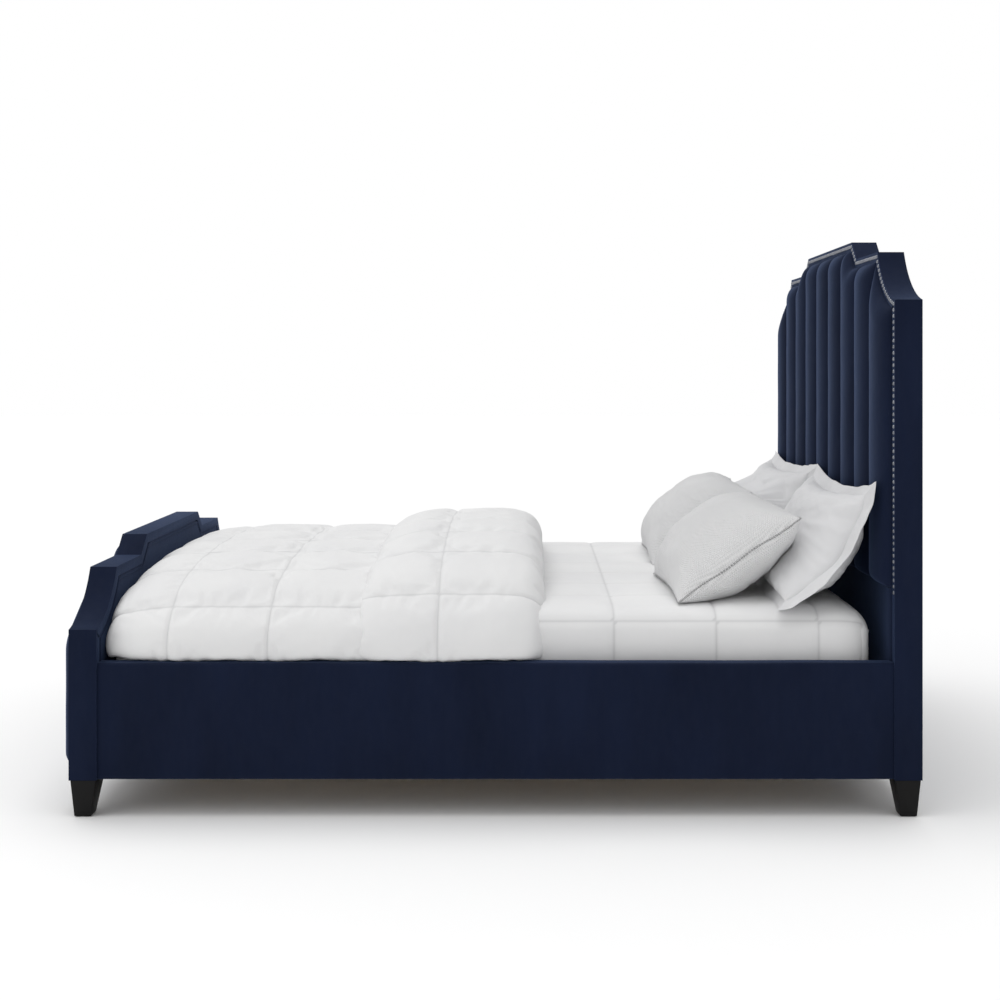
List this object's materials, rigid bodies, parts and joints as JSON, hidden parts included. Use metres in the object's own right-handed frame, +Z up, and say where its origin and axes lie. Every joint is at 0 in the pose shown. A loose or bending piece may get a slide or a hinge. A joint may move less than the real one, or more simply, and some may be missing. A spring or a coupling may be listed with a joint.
{
  "type": "upholstered bed",
  "caption": "Upholstered velvet bed with stepped channel-tufted headboard and footboard, nail trim, side rails, slats, mattress, folded comforter and pillows.",
  "frame": {"origin": "on the floor, under the centre of the bed's bounding box", "axes": "+X from the foot towards the headboard, +Y towards the sleeper's left side when lying on the back, +Z up"},
  "size_m": [2.25, 1.651, 1.536],
  "materials": {
    "velvet": "navy short-pile velvet",
    "nail_metal": "polished silver nail heads",
    "leg_wood": "satin black stain",
    "glide_plastic": "matt",
    "foot_plastic": "matt",
    "zinc_fastener": "zinc plated",
    "black_steel": "black powder coat",
    "slat_wood": "plain sanded pine",
    "frame_wood": "unfinished ply and pine",
    "strap_webbing": "woven tape",
    "mattress_fabric": "quilted cotton cover",
    "comforter_fabric": "quilted cotton",
    "front_pillow_fabric": "waffle-weave cotton",
    "rear_pillow_fabric": "smooth cotton with flanged edge"
  },
  "bodies": {
    "bed_frame": {"beam_hangers": "black_steel", "bracket_bolts": "zinc_fastener", "centre_beam": "slat_wood", "centre_leg_1": "slat_wood", "centre_leg_2": "slat_wood", "footboard_border": "velvet", "footboard_channel_1": "velvet", "footboard_channel_2": "velvet", "footboard_channel_3": "velvet", "footboard_channel_4": "velvet", "footboard_channel_5": "velvet", "footboard_channel_6": "velvet", "footboard_channel_7": "velvet", "footboard_channel_8": "velvet", "footboard_channel_9": "velvet", "footboard_plain_cover": "velvet", "footboard_plywood": "frame_wood", "footboard_studs": "frame_wood", "headboard_border": "velvet", "headboard_channel_1": "velvet", "headboard_channel_2": "velvet", "headboard_channel_3": "velvet", "headboard_channel_4": "velvet", "headboard_channel_5": "velvet", "headboard_channel_6": "velvet", "headboard_channel_7": "velvet", "headboard_channel_8": "velvet", "headboard_channel_9": "velvet", "headboard_lower_pad": "velvet", "headboard_nail_trim": "nail_metal", "headboard_plain_cover": "velvet", "headboard_plywood": "frame_wood", "headboard_studs": "frame_wood", "ledge_screws": "zinc_fastener", "leg_bolts": "zinc_fastener", "leg_foot_left": "leg_wood", "leg_foot_right": "leg_wood", "leg_glides": "glide_plastic", "leg_head_left": "leg_wood", "leg_head_right": "leg_wood", "rail_bracket_foot_left": "black_steel", "rail_bracket_foot_right": "black_steel", "rail_bracket_head_left": "black_steel", "rail_bracket_head_right": "black_steel", "side_rail_core_left": "frame_wood", "side_rail_core_right": "frame_wood", "side_rail_cover_left": "velvet", "side_rail_cover_right": "velvet", "slat_ledge_left": "slat_wood", "slat_ledge_right": "slat_wood"},
    "slat_deck": {"slats": "slat_wood", "slat_straps": "strap_webbing"},
    "mattress": {"mattress": "mattress_fabric"},
    "comforter": {"comforter": "comforter_fabric"},
    "rear_pillow_near": {"rear_pillow_near": "rear_pillow_fabric"},
    "rear_pillow_far": {"rear_pillow_far": "rear_pillow_fabric"},
    "front_pillow_near": {"front_pillow_near": "front_pillow_fabric"},
    "front_pillow_far": {"front_pillow_far": "front_pillow_fabric"},
    "centre_foot_1": {"centre_foot_1": "foot_plastic"},
    "centre_foot_2": {"centre_foot_2": "foot_plastic"}
  },
  "joints": [
    {"name": "slat_deck_lift", "type": "slide", "parent": "bed_frame", "child": "slat_deck", "axis": [0, 0, 1], "range_m": [0, 0.4]},
    {"name": "mattress_lift", "type": "slide", "parent": "slat_deck", "child": "mattress", "axis": [0, 0, 1], "range_m": [0, 0.42]},
    {"name": "comforter_lift", "type": "slide", "parent": "mattress", "child": "comforter", "axis": [0, 0, 1], "range_m": [0, 0.35]},
    {"name": "rear_pillow_near_lift", "type": "slide", "parent": "mattress", "child": "rear_pillow_near", "axis": [0, 0, 1], "range_m": [0, 0.4]},
    {"name": "front_pillow_near_lift", "type": "slide", "parent": "rear_pillow_near", "child": "front_pillow_near", "axis": [-0.7986, 0, 0.6018], "range_m": [0, 0.35]},
    {"name": "rear_pillow_far_lift", "type": "slide", "parent": "mattress", "child": "rear_pillow_far", "axis": [0, 0, 1], "range_m": [0, 0.4]},
    {"name": "front_pillow_far_lift", "type": "slide", "parent": "rear_pillow_far", "child": "front_pillow_far", "axis": [-0.7986, 0, 0.6018], "range_m": [0, 0.35]},
    {"name": "centre_foot_1_height", "type": "slide", "parent": "bed_frame", "child": "centre_foot_1", "axis": [0, 0, -1], "range_m": [0, 0.012]},
    {"name": "centre_foot_2_height", "type": "slide", "parent": "bed_frame", "child": "centre_foot_2", "axis": [0, 0, -1], "range_m": [0, 0.012]}
  ]
}
